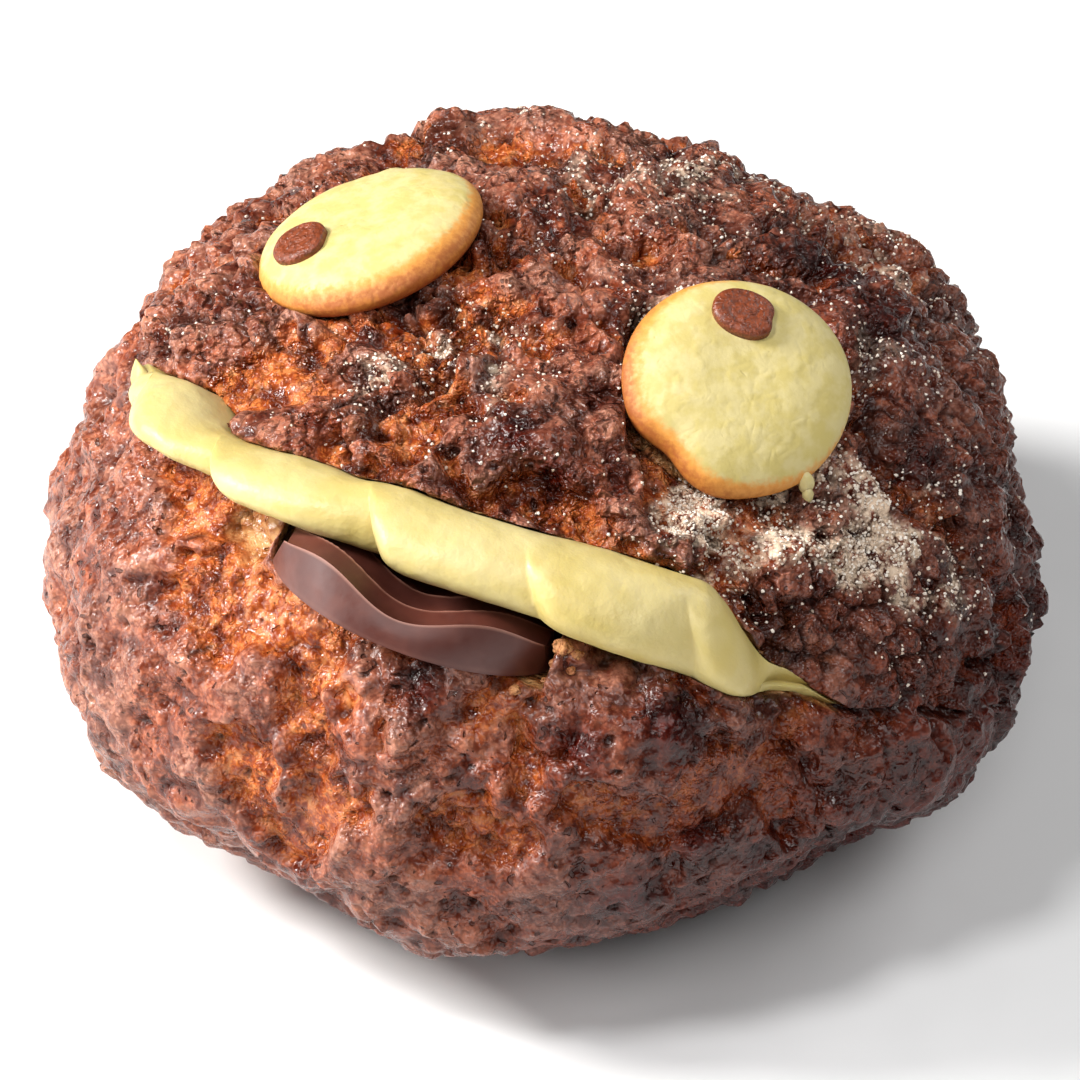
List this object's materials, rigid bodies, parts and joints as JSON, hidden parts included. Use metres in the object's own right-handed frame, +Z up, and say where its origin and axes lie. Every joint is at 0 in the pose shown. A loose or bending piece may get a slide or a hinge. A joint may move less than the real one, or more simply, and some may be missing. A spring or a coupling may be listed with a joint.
{
  "type": "melon pan bun",
  "caption": "Round chocolate melon pan bun with a cracked cookie crust, cut to hold piped cream and a ridged chocolate tongue, with biscuit eyes on its lid.",
  "frame": {"origin": "middle of the flat base, on the surface it rests on", "axes": "+Z up; -Y is the front, which the cream mouth and the chocolate tongue face; +X is to the viewer's right"},
  "size_m": [0.1045, 0.1053, 0.0688],
  "materials": {
    "crust": "baked chocolate cookie crust, brown and grainy, over orange-brown bread",
    "cream": "pale yellow piped cream, smooth, moist",
    "biscuit": "pale biscuit with a golden-brown rim",
    "chocolate_drop": "milk chocolate drop, satin",
    "chocolate": "moulded dark chocolate, softly shiny"
  },
  "bodies": {
    "root": {"bun": "crust", "cream_filling": "cream", "left_eye_biscuit": "biscuit", "right_eye_biscuit": "biscuit", "left_pupil": "chocolate_drop", "right_pupil": "chocolate_drop", "chocolate_tongue": "chocolate"}
  },
  "joints": []
}
